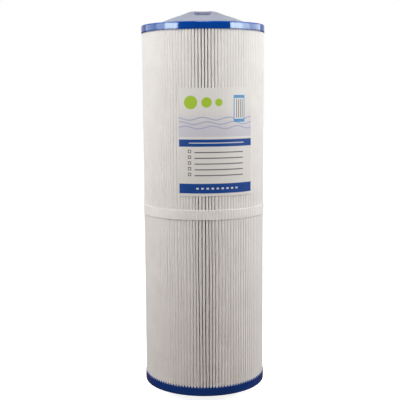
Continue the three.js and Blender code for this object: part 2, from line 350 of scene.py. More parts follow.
def print_box_group():
    """Ink inside a box on the label."""
    tree, given, out = print_group("Print box", ("Left", "Right", "Bottom", "Top"))
    inside = product(
        tree,
        maths(tree, "GREATER_THAN", given["Across"], given["Left"]),
        maths(tree, "LESS_THAN", given["Across"], given["Right"]),
        maths(tree, "GREATER_THAN", given["Up"], given["Bottom"]),
        maths(tree, "LESS_THAN", given["Up"], given["Top"]),
    )
    tree.links.new(inside, out["Ink"])
    return tree


def print_disc_group():
    """Ink inside a disc on the label."""
    tree, given, out = print_group("Print disc", ("Centre across", "Centre up", "Radius"))
    x = maths(tree, "SUBTRACT", given["Across"], given["Centre across"])
    y = maths(tree, "SUBTRACT", given["Up"], given["Centre up"])
    distance = vector_maths(tree, "LENGTH", combine(tree, x, y))
    tree.links.new(maths(tree, "LESS_THAN", distance, given["Radius"]), out["Ink"])
    return tree


SPUN_FIBRE = spun_fibre_group()
MOULDED_SKIN = moulded_skin_group()
PRINT_BOX = print_box_group()
PRINT_DISC = print_disc_group()


def new_material(name, **constants):
    """A material with its tree, its shader and the object's own coordinates."""
    material = bpy.data.materials.new(name)
    material.use_nodes = True
    tree = material.node_tree
    shader = tree.nodes["Principled BSDF"]
    for key, value in constants.items():
        shader.inputs[key.replace("_", " ")].default_value = value
    where = tree.nodes.new("ShaderNodeTexCoord").outputs
    return material, tree, shader, where


def bump(tree, shader, height, distance):
    """Distance is in millimetres."""
    values = {"Height": height, "Distance": distance * MM, "Strength": 1.0}
    tree.links.new(add_node(tree, "ShaderNodeBump", values).outputs[0], shader.inputs["Normal"])


def moulded_skin(tree, where, swirl, grain):
    """The swirl and the grain of a moulded surface, of sizes in millimetres."""
    values = {"Coordinates": where["Object"], "Swirl size": swirl * MM, "Grain size": grain * MM}
    return placed(tree, MOULDED_SKIN, values)


# -------- materials
def cast_urethane(name, pale_swirl, deep_swirl):
    """Blue flexible urethane, glossy from its mould but matt on the upper cap's flat face."""
    material, tree, shader, where = new_material(
        name, IOR=1.5, Specular_IOR_Level=0.62, Specular_Tint=(0.85, 1.0, 0.98, 1))
    skin_of = moulded_skin(tree, where, 20, 0.6)
    blue = mix_colour(tree, skin_of["Swirl"], deep_swirl, pale_swirl)
    tree.links.new(blue, shader.inputs["Base Color"])
    gloss = remap(tree, skin_of["Swirl"], 0, 1, 0.07, 0.12)
    up = separate(tree, where["Object"])["Z"]
    on_face = remap(tree, up, (TOP_FACE - 0.35) * MM, (TOP_FACE - 0.02) * MM, 0.0, 0.5)
    tree.links.new(maths(tree, "ADD", gloss, on_face), shader.inputs["Roughness"])
    bump(tree, shader, skin_of["Grain"], 0.004)
    return material


def spun_polyester(name, tint, filament_depth, scatter):
    """Spun polyester, its filaments' depth and the light's scatter in millimetres."""
    material, tree, shader, where = new_material(
        name, Roughness=0.9, IOR=1.45, Subsurface_Weight=1.0,
        Subsurface_Radius=(1.0, 1.0, 1.0), Subsurface_Scale=scatter * MM)
    fibre = placed(tree, SPUN_FIBRE, {"Coordinates": where["Object"], "Fineness": 900.0})
    darker = tuple(value * 0.95 for value in tint)
    cloudy = mix_colour(tree, fibre["Clouds"], darker, tint)
    # painted shade: darker in the gaps between the raised filaments
    painted_gap_shade = remap(tree, fibre["Filaments"], 0, 1, 0.06, 0.0)
    shaded_between_filaments = mix_colour(tree, painted_gap_shade, cloudy, (0, 0, 0))
    tree.links.new(shaded_between_filaments, shader.inputs["Base Color"])
    bump(tree, shader, fibre["Filaments"], filament_depth)
    return material


def moulded_finish(tree, shader, where, roughness):
    """The grain that moulding leaves. Returns the slow swirl in the plastic."""
    skin_of = moulded_skin(tree, where, 30, 0.8)
    rough = remap(tree, skin_of["Grain"], 0.3, 0.7, roughness - 0.04, roughness + 0.06)
    tree.links.new(rough, shader.inputs["Roughness"])
    bump(tree, shader, skin_of["Grain"], 0.015)
    return skin_of["Swirl"]


def white_core_plastic():
    material, tree, shader, where = new_material("white core plastic")
    swirl = moulded_finish(tree, shader, where, 0.45)
    white = mix_colour(tree, swirl, (0.76, 0.76, 0.75), (0.80, 0.80, 0.79))
    tree.links.new(white, shader.inputs["Base Color"])
    return material


def milky_cone_plastic():
    """Thin translucent plastic, with painted shade at its crown and deep in its wells, and painted blue
    light from the urethane towards its foot.
    """
    # painted shade and light: the crown darker over the dark hub, the foot bluer with painted light from
    # the urethane
    shaded_crown, blue_lit_foot = (0.248, 0.258, 0.318), (0.285, 0.305, 0.385)
    painted_well_shade, milky = (0.15, 0.165, 0.29), (0.6, 0.6, 0.62)
    material, tree, shader, where = new_material(
        "milky cone plastic", Subsurface_Weight=0.2, Subsurface_Scale=2 * MM)
    swirl = moulded_finish(tree, shader, where, 0.50)
    place = separate(tree, where["Object"])
    radius = vector_maths(tree, "LENGTH", combine(tree, place["X"], place["Y"]))
    to_foot = remap(tree, radius, 10 * MM, 46 * MM, ease="SMOOTHSTEP")
    colour = mix_colour(tree, to_foot, shaded_crown, blue_lit_foot)
    depth = add_node(tree, "ShaderNodeAttribute", attribute_name=WELL_DEPTH).outputs["Fac"]
    # painted shade, darker and bluer as the finger wells go down
    colour = mix_colour(tree, remap(tree, depth, 0.1, 1.6, ease="SMOOTHSTEP"), colour, painted_well_shade)
    cloudy = mix_colour(tree, remap(tree, swirl, 0, 1, 0.0, 0.06), colour, milky)
    tree.links.new(cloudy, shader.inputs["Base Color"])
    return material


# -------- the label's print
LABEL_WIDTH = 77.2
LABEL_HEIGHT = LABEL_HIGH - LABEL_LOW
PAPER, INK, GREY = (0.80, 0.79, 0.76), (0.03, 0.03, 0.035), (0.13, 0.13, 0.14)
DEEP_BLUE, LIGHT_BLUE = (0.010, 0.068, 0.31), (0.10, 0.32, 0.62)
LAVENDER, RIPPLE_BLUE, LIME = (0.60, 0.60, 0.70), (0.42, 0.45, 0.62), (0.42, 0.62, 0.05)


class Print:
    """The label's print, one ink over another, placed in millimetres across and up."""

    def __init__(self, tree, where):
        flat = separate(tree, where["UV"])
        self.tree = tree
        self.across = product(tree, flat["X"], LABEL_WIDTH)
        self.up = product(tree, flat["Y"], LABEL_HEIGHT)
        self.look = PAPER

    def ink(self, mask, colour):
        self.look = mix_colour(self.tree, mask, self.look, colour)

    def stamp(self, group, sizes, colour):
        values = {"Across": self.across, "Up": self.up, **sizes}
        self.ink(placed(self.tree, group, values)["Ink"], colour)

    def box(self, left, right, bottom, top, colour):
        sizes = {"Left": left, "Right": right, "Bottom": bottom, "Top": top}
        self.stamp(PRINT_BOX, sizes, colour)

    def disc(self, across, up, radius, colour):
        sizes = {"Centre across": across, "Centre up": up, "Radius": radius}
        self.stamp(PRINT_DISC, sizes, colour)


def lavender_wash(page):
    """A ground that fades upwards, cut off straight below."""
    page.ink(remap(page.tree, page.up, 60, 88, 0.75, 0.0, "SMOOTHSTEP"), LAVENDER)
    page.ink(maths(page.tree, "LESS_THAN", page.up, 58.0), PAPER)


def ripples(page):
    """Three thin waves, each out of step with the next."""
    tree, height, half_line = page.tree, 1.3, 0.5
    for row in range(3):
        phase = maths(tree, "ADD", product(tree, page.across, 0.24), row * 1.1)
        wave = product(tree, maths(tree, "SINE", phase), height)
        level = maths(tree, "ADD", wave, 67.0 + row * 4.2)
        away = maths(tree, "ABSOLUTE", maths(tree, "SUBTRACT", page.up, level))
        page.ink(maths(tree, "LESS_THAN", away, half_line), RIPPLE_BLUE)


def three_dots(page):
    for across, radius in ((12, 6.5), (27.5, 5.0), (39.5, 3.6)):
        page.disc(across, 91.0, radius, LIME)


def cartridge_sketch(page):
    """A small drawing of a cartridge: two caps, a frame and four pleats."""
    left, right, foot, head = 55.0, 68.0, 72.0, 98.0
    cap, frame_line, pleat_line = 3, 1, 0.7
    page.box(left, right, foot, head, LIGHT_BLUE)
    page.box(left + frame_line, right - frame_line, foot + cap, head - cap, PAPER)
    for line in range(4):
        across = left + 3.1 + line * 2.2
        page.box(across, across + pleat_line, foot + cap + 1, head - cap - 1, INK)


def upper_bar(page):
    """A blue bar with a thin pale line along it."""
    page.box(0, LABEL_WIDTH, 48.5, 55.5, DEEP_BLUE)
    page.box(10, 67, 51.6, 52.4, PAPER)


def ruled_lines(page):
    """Lines to write on, each with a box to tick."""
    left, tick, outline = 9, 3.2, 0.7
    for row in range(5):
        up = 20.0 + row * 5.6
        page.box(left, left + tick, up, up + tick, GREY)
        page.box(left + outline, left + tick - outline, up + outline, up + tick - outline, PAPER)
        page.box(15.5, 66, up, up + 1.0, GREY)


def lower_bar(page):
    """A blue bar with a row of small pale tiles."""
    page.box(0, LABEL_WIDTH, 3.0, 12.5, DEEP_BLUE)
    for tile in range(9):
        across = 17.0 + tile * 5.0
        page.box(across, across + 2.4, 6.9, 8.6, PAPER)


def printed_film():
    """A plain printed label on smooth film."""
    material, tree, shader, where = new_material("printed film", IOR=1.45)
    page = Print(tree, where)
    lavender_wash(page)
    ripples(page)
    three_dots(page)
    cartridge_sketch(page)
    upper_bar(page)
    ruled_lines(page)
    lower_bar(page)
    tree.links.new(page.look, shader.inputs["Base Color"])
    skin_of = moulded_skin(tree, where, 20, 0.5)
    tree.links.new(remap(tree, skin_of["Grain"], 0.3, 0.7, 0.34, 0.44), shader.inputs["Roughness"])
    bump(tree, shader, skin_of["Grain"], 0.01)
    return material


WELL_DEPTH = "well depth"  # the cone's attribute, in millimetres
UPPER_URETHANE = cast_urethane("upper urethane", (0.004, 0.066, 0.37), (0.002, 0.054, 0.31))
# The lower cap uses a darker copy of the same blue urethane: painted shade near the floor.
LOWER_URETHANE_PAINTED_DARKER = cast_urethane("lower urethane painted darker", (0.002, 0.046, 0.25), (0.001, 0.036, 0.20))
POLYESTER = spun_polyester("spun polyester", (0.935, 0.907, 0.875), 0.05, 0.8)
STRAP = spun_polyester("polyester strap", (0.97, 0.945, 0.91), 0.03, 0.42)
CORE_PLASTIC = white_core_plastic()
CONE_PLASTIC = milky_cone_plastic()
FILM_PRINT = printed_film()


# -------- pleated sheet
FOLD_RADIUS = CORE_RADIUS + CLEARANCE + 0.5
VALLEY_GAP = 0.2  # between neighbouring pleats in the valleys
TIP_HALF = 1.50  # a fold can't close fully, so each tip is fuller than the sheets behind it
LEG_HALF, NECK_HALF = 0.56, 0.9  # half a pleat's width, midway and near its tip


def off_tip(angle):
    """Distance round the tips from this angle to the nearest tip."""
    pitch = TURN / PLEATS
    return abs((angle + pitch / 2) % pitch - pitch / 2) * MEDIA_RADIUS


def between_tips(angle):
    """0 over a tip and 1 midway between two, eased."""
    return 0.5 - 0.5 * math.cos(math.pi * min(off_tip(angle) / (math.pi * MEDIA_RADIUS / PLEATS), 1))


def one_pleat():
    """A strip from valley to valley over one tip, which points along +X."""
    half_pitch = math.pi / PLEATS
    rows, end_row = 20, 0.6
    side = [
        (FOLD_RADIUS * math.cos(half_pitch), FOLD_RADIUS * math.sin(half_pitch)),
        (FOLD_RADIUS + 0.8, FOLD_RADIUS * half_pitch - VALLEY_GAP / 2),
        ((FOLD_RADIUS + MEDIA_RADIUS) / 2, LEG_HALF),
        (MEDIA_RADIUS - 8.0, NECK_HALF),
    ]
    rounded_tip = ((4.0, 0.95), (0.55, 1), (0.2, 0.88), (0.04, 0.5))  # depth, share of its width
    side += [(MEDIA_RADIUS - depth, TIP_HALF * share) for depth, share in rounded_tip]
    profile = [(x, -y) for x, y in side] + [(MEDIA_RADIUS, 0)] + side[::-1]
    heights = [MEDIA_LOW + (MEDIA_HIGH - MEDIA_LOW) * row / rows for row in range(rows + 1)]
    heights[1:1] = [MEDIA_LOW + end_row]  # rows close to the ends keep the shading upright there
    heights[-1:-1] = [MEDIA_HIGH - end_row]
    points = [(x, y, z) for z in heights for x, y in profile]
    return piece("one_pleat", points, grid_faces(len(heights) - 1, len(profile) - 1), POLYESTER)


def ring_of_pleats(tree, given):
    """The pleats side by side round the axis, joined at their valleys."""
    points, index = points_with_index(tree, given["Pleats"])
    angle = product(tree, maths(tree, "DIVIDE", index, given["Pleats"]), TURN)
    copies = turned_copies(tree, points, given["Pleat"], angle)
    numbered = add_node(tree, "GeometryNodeStoreNamedAttribute", {
        "Geometry": copies, "Name": "pleat", "Value": index}, data_type="FLOAT", domain="INSTANCE")
    values = {"Geometry": realized(tree, numbered.outputs[0]), "Distance": 0.01 * MM}
    return add_node(tree, "GeometryNodeMergeByDistance", values).outputs[0]


def looseness(tree, given, z):
    """How free a pleat's tip is at a height: held by both caps and, less, by the band."""
    from_cap, at_band = 130 * MM, 0.45
    above = maths(tree, "SUBTRACT", z, given["Foot"])
    below = maths(tree, "SUBTRACT", given["Head"], z)
    free = product(tree, remap(tree, above, 0.0, from_cap, ease="SMOOTHSTEP"),
                   remap(tree, below, 0.0, from_cap, ease="SMOOTHSTEP"))
    from_band = maths(tree, "ABSOLUTE", maths(tree, "SUBTRACT", z, given["Tied at"]))
    return product(tree, free, remap(tree, from_band, 4 * MM, 40 * MM, at_band, 1.0, "SMOOTHSTEP"))


def wander(tree, given, pleat, outward, z):
    """Sideways shift of a loose tip, partly its own and partly shared with its neighbours."""
    own_place = combine(tree, product(tree, pleat, 0.8), product(tree, z, 5.0))
    own = maths(tree, "SUBTRACT", noise(tree, own_place, 1.0, 0.0), 0.5)
    ring_place = combine(tree, product(tree, outward["X"], 4.0), product(tree, outward["Y"], 4.0),
                         product(tree, z, 4.0))
    shared = maths(tree, "SUBTRACT", noise(tree, ring_place, 1.5, 0.0), 0.5)
    return maths(tree, "ADD", product(tree, own, given["Own wander"]),
                 product(tree, shared, given["Shared lean"]))


def slimming(tree, given, pleat, outward, xyz, reach):
    """Sideways shift that closes the folds in front towards their own middles."""
    own_angle = product(tree, maths(tree, "DIVIDE", pleat, given["Pleats"]), TURN)
    off_middle = maths(tree, "SUBTRACT", product(tree, xyz["Y"], maths(tree, "COSINE", own_angle)),
                       product(tree, xyz["X"], maths(tree, "SINE", own_angle)))
    across = product(tree, outward["X"], given["Tip radius"])
    across = maths(tree, "SUBTRACT", across, given["Slim middle"])
    across = maths(tree, "DIVIDE", across, given["Slim reach"])
    fourth_power = maths(tree, "POWER", maths(tree, "ABSOLUTE", across), 4.0)
    roomy = maths(tree, "DIVIDE", 1.0, maths(tree, "ADD", fourth_power, 1.0))
    in_front = remap(tree, product(tree, outward["Y"], -1.0), 0.0, 0.5, ease="SMOOTHSTEP")
    slimmer = product(tree, roomy, in_front, given["Slimmer"])
    return product(tree, product(tree, off_middle, slimmer), reach)


def pleat_ring_tree():
    """A ring of one pleat's copies, slimmer in front, whose loose tips wander."""
    sizes = ("Fold radius", "Tip radius", "Foot", "Head", "Tied at", "Own wander", "Shared lean",
             "Sunk tips", "Slimmer", "Slim middle", "Slim reach")
    inputs = {"Pleat": "Geometry", "Pleats": "Int", **dict.fromkeys(sizes, "Float"), "Material": "Material"}
    tree, given, out = new_tree("Pleat ring", "GeometryNodeTree", inputs, {"Sheet": "Geometry"})
    joined = ring_of_pleats(tree, given)
    xyz = separate(tree, tree.nodes.new("GeometryNodeInputPosition").outputs[0])
    number = add_node(tree, "GeometryNodeInputNamedAttribute", {"Name": "pleat"}, data_type="FLOAT")
    pleat = number.outputs[0]
    from_axis = combine(tree, xyz["X"], xyz["Y"])
    outward = vector_maths(tree, "NORMALIZE", from_axis)
    sideways = vector_maths(tree, "CROSS_PRODUCT", (0, 0, 1), outward)
    way = separate(tree, outward)
    reach = remap(tree, vector_maths(tree, "LENGTH", from_axis), given["Fold radius"], given["Tip radius"],
                  ease="SMOOTHSTEP")
    loose = product(tree, looseness(tree, given, xyz["Z"]), reach)

    shift = product(tree, wander(tree, given, pleat, way, xyz["Z"]), loose)
    shift = maths(tree, "SUBTRACT", shift, slimming(tree, given, pleat, way, xyz, reach))
    sunk_place = combine(tree, product(tree, pleat, 5.3), product(tree, xyz["Z"], 5.0), 7.0)
    sunk = product(tree, noise(tree, sunk_place, 1.0, 1.0), given["Sunk tips"], loose, -1.0)
    offset = vector_maths(tree, "ADD", vector_maths(tree, "SCALE", sideways, scale=shift),
                          vector_maths(tree, "SCALE", outward, scale=sunk))
    moved = add_node(tree, "GeometryNodeSetPosition", {"Geometry": joined, "Offset": offset})
    end_tree(tree, moved.outputs[0], given["Material"], out["Sheet"])
    return tree


def pleated_sheet():
    made = grown("pleated_sheet", one_pleat(), pleat_ring_tree(), {
        "Pleats": PLEATS, "Fold radius": FOLD_RADIUS * MM, "Tip radius": MEDIA_RADIUS * MM,
        "Foot": BOTTOM_SKIRT * MM, "Head": TOP_SKIRT * MM, "Tied at": (BAND_LOW + BAND_HIGH) / 2 * MM,
        "Own wander": 0.35 * MM, "Shared lean": 3.0 * MM, "Sunk tips": 0.4 * MM, "Slimmer": 0.265,
        "Slim middle": 2.0 * MM, "Slim reach": 12.5 * MM, "Material": POLYESTER,
    })
    wall = made.modifiers.new("Sheet", "SOLIDIFY")
    wall.thickness = SHEET * MM
    wall.offset = -1
    return made


# -------- end caps
RIM_STEPS = 10  # points round the rim for each pleat
EDGE_RADIUS = 1.2
FILM = 0.5  # urethane in front of the pleat tips
POURED_SINK = 0.9  # the urethane between the pleats, below the rim's edge
TIP_ARCH = 1.25  # half the width of the arch that the rim's edge makes over each tip


def end_cap(name, seat, face, upside_down, z, short, tip_dip, urethane):
    """A cap cast round an insert's flange, with its outer face at height z.

    Seat and face are (radius, depth) steps: from inside out to the seat, then on the
    outer face. The rim's edge stops short of the skirt's depth, or passes it where short
    is below 0, and dips at each pleat tip, because urethane creeps up between the pleats.
    """
    count = PLEATS * RIM_STEPS
    skirt = BOTTOM_SKIRT - BOTTOM_FACE
    poured, poured_start = skirt - POURED_SINK, CAP_RADIUS - 3
    inside = CORE_RADIUS + CLEARANCE

    def uneven(angle):
        return 0.077 * math.sin(angle * 7 + 1.3) + 0.056 * math.sin(angle * 17 + 0.4) * math.cos(angle * 5)

    def edge(rise):
        def height(angle):
            dip = math.sqrt(max(1 - (off_tip(angle) / TIP_ARCH) ** 2, 0))
            return skirt - short + rise + uneven(angle) - tip_dip * dip
        return height

    steps = seat + face
    steps += arc(CAP_RADIUS - EDGE_RADIUS, EDGE_RADIUS, EDGE_RADIUS, -90, 0, 6)
    steps += [(CAP_RADIUS, skirt / 2)]
    rounded_lip = ((0, -0.75), (0, -0.4), (0.12, -0.1), (0.4, 0.0), (FILM + 0.1, -0.05))
    steps += [(CAP_RADIUS - inset, edge(rise)) for inset, rise in rounded_lip]
    steps += [(poured_start, poured), (inside, poured), (inside, CAP_FLOOR)]
    rings = [circle(r, depth, count) for r, depth in steps]
    up = -1 if upside_down else 1
    rings = [[(x, y, z + up * depth) for x, y, depth in ring] for ring in rings[::up]]
    return piece(name, *skin(rings, closes=True), urethane)


def lower_cap():
    """Cast round the outlet's flange, with a shallow groove round the neck's hole."""
    hole, flange, under = NECK_RADIUS + 0.1, CORE_RADIUS + 5.7, 2.5
    groove_start, groove_end, groove = hole + 6.5, hole + 11.3, 0.3
    seat = [(flange, CAP_FLOOR), (flange, under), (hole, under), (hole, 0.3), (hole + 0.6, 0.0)]
    face = [(groove_start, 0.0), (groove_start + groove, groove), (groove_end - groove, groove),
            (groove_end, 0.0), (CAP_RADIUS - 8, 0.0)]
    # its darker blue is painted shade
    return end_cap("lower_cap", seat, face, False, BOTTOM_FACE, -2.2, 1.6, LOWER_URETHANE_PAINTED_DARKER)


def upper_cap():
    """Cast round the cone's flange, with its face drawn down a little to the cone's foot."""
    hole, flange, mouth = CORE_RADIUS - 2.9, CONE_RADIUS + 4.3, CONE_RADIUS + 0.15
    over, under = 1.2, 3.5
    seat = [(hole, CAP_FLOOR), (hole, under), (flange, under), (flange, over), (mouth, over)]
    face = [(mouth + 0.2, 0.3), (mouth + 0.9, 0.05), (mouth + 2.0, 0.0), (CAP_RADIUS - 5, 0.0)]
    return end_cap("upper_cap", seat, face, True, TOP_FACE, 0.0, 1.1, UPPER_URETHANE)


# -------- cone handle
WELL_HALF_WIDTH = 7.5
WELL_NEAR, WELL_FAR = 4.0, 28.5
WELL_FLOOR = 3.0
WELL_CORNER = 5.0
WELL_DRAFT = 5.0  # how far a well's wall climbs for each millimetre outwards
CROWN_RADIUS = 11.5
SWELL, SWELL_REACH = 0.65, 24  # how far the flank swells, and how far in from its foot
FOOT_EDGE = 0.35


def soft_min(first, second, softness):
    """The lower of two heights, rounded where they cross."""
    blend = min(max(0.5 + 0.5 * (second - first) / softness, 0), 1)
    return second * (1 - blend) + first * blend - softness * blend * (1 - blend)


def flank(r):
    """Height of the cone over the end cap, slightly swollen down its side."""
    slope = CROWN / (CONE_RADIUS - CROWN_RADIUS)
    straight = (CONE_RADIUS - r) * slope
    swell = SWELL * math.sin(math.pi * min(max((CONE_RADIUS - r) / SWELL_REACH, 0), 1))
    return soft_min(straight + FOOT_EDGE + swell, CROWN, 1.5)


def well_distance(x, y):
    """Distance outside the nearer finger well's rounded outline, less than 0 inside it."""
    middle = (WELL_NEAR + WELL_FAR) / 2
    half_length = (WELL_FAR - WELL_NEAR) / 2
    dx = abs(x) - (WELL_HALF_WIDTH - WELL_CORNER)
    dy = abs(abs(y) - middle) - (half_length - WELL_CORNER)
    outside = math.hypot(max(dx, 0), max(dy, 0))
    return outside + min(max(dx, dy), 0) - WELL_CORNER


def well_wall(d, floor):
    """Height of a well's floor and of the wall round it, d outside its outline."""
    return -soft_min(-floor - WELL_DRAFT * (d + 1.2), -floor, 3.0)


def cone_top(x, y):
    """The cone's outer surface, with its wells sunk into it."""
    return soft_min(flank(math.hypot(x, y)), well_wall(well_distance(x, y), WELL_FLOOR), 4.5)


def cone_inside(x, y):
    """The underside of the dome, which keeps its wall under the wells too."""
    d = well_distance(x, y) - CONE_WALL
    return soft_min(flank(math.hypot(x, y)) - CONE_WALL, well_wall(d, WELL_FLOOR - CONE_WALL), 2.0)


def cone_handle():
    """The cone with its wells, its flange in the cap, and its hub over the core."""
    count = 240
    hub = CORE_RADIUS - 3.6
    hub_inside = hub - 2.3
    flange_radius = CONE_RADIUS + 4
    flange_top, flange_foot = -1.5, -3.2
    inner_wall = CONE_RADIUS - CONE_WALL

    def level(r, z):
        return circle(r, TOP_FACE + z, count)

    def surface(r, height):
        ring = circle(r, 0, count)
        return [(x, y, TOP_FACE + height(x, y)) for x, y, _ in ring]

    fine = [0.45 * i for i in range(1, 69)]  # close rings over the crown and the wells
    inside = [r for r in fine[1::2] if r < hub_inside - 0.4]
    rings = [surface(r, cone_inside) for r in inside]
    rings += [level(hub_inside, cone_inside(hub_inside, 0)), level(hub_inside, HUB_FOOT)]
    rings += [level(hub, HUB_FOOT), level(hub, cone_inside(hub, 0))]
    rings += [surface(r, cone_inside) for r in (27, 30, 34, 38, 42)]
    rings += [level(inner_wall, flank(inner_wall) - CONE_WALL), level(inner_wall, flange_foot)]
    rings += [level(flange_radius, flange_foot), level(flange_radius, flange_top)]
    rings += [level(CONE_RADIUS, flange_top), level(CONE_RADIUS, 0.0), level(CONE_RADIUS - 0.15, 0.25)]
    rings += [surface(r, cone_top) for r in (47, 44, 41, 38, 35, 32.5, *fine[::-1])]
    made = piece("handle_cone", *skin(rings), CONE_PLASTIC)
    depth = made.data.attributes.new(WELL_DEPTH, "FLOAT", "POINT")
    for spot, vertex in zip(depth.data, made.data.vertices):
        x, y, z = (value / MM for value in vertex.co)
        spot.value = max(flank(math.hypot(x, y)) - (z - TOP_FACE), 0.0) if z > TOP_FACE + 0.5 else 0.0
    return made


# -------- threaded outlet
def threaded_outlet():
    """The neck with its tapered thread, its flange, and the sleeve inside the core.

    The thread's rows climb with the helix, so that a whole turn on they meet themselves.
    """
    count, rows = 144, 12  # points round a turn, and rows for each pitch
    top = BOTTOM_FACE - 1
    half_crest = 0.11 * rows / 2
    run_in, run_out = 1.6, 1.2
    flange, flange_foot, seat = CORE_RADIUS + 5.4, BOTTOM_FACE + 2.8, BOTTOM_FACE + CAP_FLOOR
    sleeve = CORE_RADIUS - 3.6
    chamfer, mouth, sleeve_edge = 0.3, 0.6, 0.8

    def spot(r, z, j):
        return at(r, TURN * j / count, z)

    def root(z):
        return NECK_RADIUS - (top - z) * THREAD_TAPER / 2 - THREAD_DEPTH

    def helix_spot(row, j):
        z = min(max(THREAD_PITCH * (row / rows + j / count), 0), top)
        off_crest = abs(row % rows - rows / 2)
        height = min((rows / 2 - off_crest) / (rows / 2 - half_crest), 1)
        height *= smooth_step(0, run_in, z) * (1 - smooth_step(top - run_out, top, z))
        return spot(root(z) + THREAD_DEPTH * height, z, j)

    last = math.ceil((top / THREAD_PITCH + 1) * rows)
    points = [helix_spot(row, j) for row in range(-rows, last + 1) for j in range(count)]
    faces = []
    for row in range(rows + last):
        for j in range(count):
            a = row * count + j
            b = a + 1 if j < count - 1 else (row + rows) * count
            if b + count < len(points):
                faces.append((a, b, b + count, a + count))

    start = len(points)
    steps = [
        (root(top), top), (NECK_RADIUS, top),
        (NECK_RADIUS, flange_foot), (flange - chamfer, flange_foot),
        (flange, flange_foot + chamfer), (flange, seat - chamfer),
        (flange - chamfer, seat), (sleeve, seat),
        (sleeve, OUTLET_HEAD - sleeve_edge), (sleeve - sleeve_edge, OUTLET_HEAD),
        (BORE_RADIUS + mouth, OUTLET_HEAD), (BORE_RADIUS, OUTLET_HEAD - mouth),
        (BORE_RADIUS, mouth), (BORE_RADIUS + mouth, 0), (root(0), 0),
    ]
    points += [spot(r, z, j) for r, z in steps for j in range(count)]
    for ring in range(start, len(points) - count, count):
        faces += ring_faces(ring, ring + count, count)
    return crisp(welded(piece("outlet_neck", points, faces, CORE_PLASTIC)))


# -------- core
CORE_BORE = CORE_RADIUS - 3
CORE_COLUMNS, CORE_ROWS = 8, 3  # windows
RIB_DEGREES = 15
RING = 8.0
LIP, LIP_WALL = 5.0, 1.3


def core_wall(foot, head, is_first, is_last):
    """The turned wall of a section: a socket at its foot and a lip at its head."""
    edge, lip_edge = 0.4, 0.3
    lip = CORE_BORE + LIP_WALL
    socket, socket_depth = lip + CLEARANCE, LIP + CLEARANCE
    steps = [(CORE_RADIUS - edge, foot), (CORE_RADIUS, foot + edge)]
    steps += [(CORE_RADIUS, head - edge), (CORE_RADIUS - edge, head)]
    if is_last:
        steps += [(CORE_BORE, head)]
    else:
        steps += [(lip, head), (lip, head + LIP - lip_edge)]
        steps += [(lip - lip_edge, head + LIP), (CORE_BORE, head + LIP)]
    if is_first:
        steps += [(CORE_BORE, foot)]
    else:
        steps += [(CORE_BORE, foot + socket_depth), (socket, foot + socket_depth), (socket, foot)]
    rings = [circle(r, z, 96) for r, z in steps]
    return piece("core_wall", *skin(rings, closes=True), CORE_PLASTIC)


def window_cutter(height):
    """A block with rounded corners that cuts one window, pointing along +X."""
    window_turn = math.radians(360 / CORE_COLUMNS - RIB_DEGREES)
    half_width = (CORE_BORE + CORE_RADIUS) / 2 * window_turn / 2
    corner, beyond_wall = 2.5, 4
    outline = []
    for across, up, start in ((1, 1, 0), (-1, 1, 90), (-1, -1, 180), (1, -1, 270)):
        centre = (across * (half_width - corner), up * (height / 2 - corner))
        outline += arc(*centre, corner, start, start + 90, 4)
    near = [(CORE_BORE - beyond_wall, y, z) for y, z in outline]
    far = [(CORE_RADIUS + beyond_wall, y, z) for y, z in outline]
    count = len(outline)
    faces = ring_faces(0, count, count)
    faces += [tuple(range(count))[::-1], tuple(range(count, 2 * count))]
    return piece("window_cutter", near + far, faces, CORE_PLASTIC)


def core_window_tree():
    """Cuts rows of windows through a wall, evenly round the axis."""
    inputs = {"Wall": "Geometry", "Cutter": "Object", "Columns": "Int", "Rows": "Int",
              "First row": "Float", "Row pitch": "Float", "Material": "Material"}
    tree, given, out = new_tree("Core windows", "GeometryNodeTree", inputs, {"Section": "Geometry"})
    points, index = points_with_index(tree, product(tree, given["Columns"], given["Rows"]))
    column = maths(tree, "MODULO", index, given["Columns"])
    row = maths(tree, "FLOOR", maths(tree, "DIVIDE", index, given["Columns"]))
    angle = product(tree, maths(tree, "DIVIDE", column, given["Columns"]), TURN)
    height = maths(tree, "ADD", given["First row"], product(tree, row, given["Row pitch"]))
    values = {"Geometry": points, "Position": combine(tree, z=height)}
    raised = add_node(tree, "GeometryNodeSetPosition", values).outputs[0]
    cutter = add_node(tree, "GeometryNodeObjectInfo", {"Object": given["Cutter"]}).outputs["Geometry"]
    cutters = realized(tree, turned_copies(tree, raised, cutter, angle))
    cut = add_node(tree, "GeometryNodeMeshBoolean", {"Mesh 1": given["Wall"], "Mesh 2": cutters},
                   operation="DIFFERENCE", solver="EXACT")
    end_tree(tree, cut.outputs[0], given["Material"], out["Section"])
    return tree


def core_sections():
    """Four tubes of windows stacked on each other, each lip in the next one's socket."""
    tree = core_window_tree()
    made = []
    for number in (1, 2, 3, 4):
        low, high = box_mm(f"core_section_{number}")
        is_last = number == 4
        foot = low.z
        head = high.z if is_last else high.z - LIP
        pitch = (head - foot - RING) / CORE_ROWS
        cutter = window_cutter(pitch - RING)
        section = grown(f"core_ladder_{number}", core_wall(foot, head, number == 1, is_last), tree, {
            "Cutter": cutter, "Columns": CORE_COLUMNS, "Rows": CORE_ROWS,
            "First row": (foot + RING + (pitch - RING) / 2) * MM, "Row pitch": pitch * MM,
            "Material": CORE_PLASTIC,
        })
        bpy.data.objects.remove(cutter)
        made.append(crisp(section))
    return made


# -------- band and label
STRAP_RADIUS = CAP_RADIUS - 0.15  # leaves the lap inside the caps' radius
LAP_START, LAP_END = math.radians(84), math.radians(98)  # at the back
LAP_RISE = 0.15


def lap_rise(angle):
    """How far the strap's end stands out where it lies over its start."""
    if not LAP_START < angle < LAP_END:
        return 0.0
    return LAP_RISE * smooth_step(0, 0.06, angle - LAP_START)


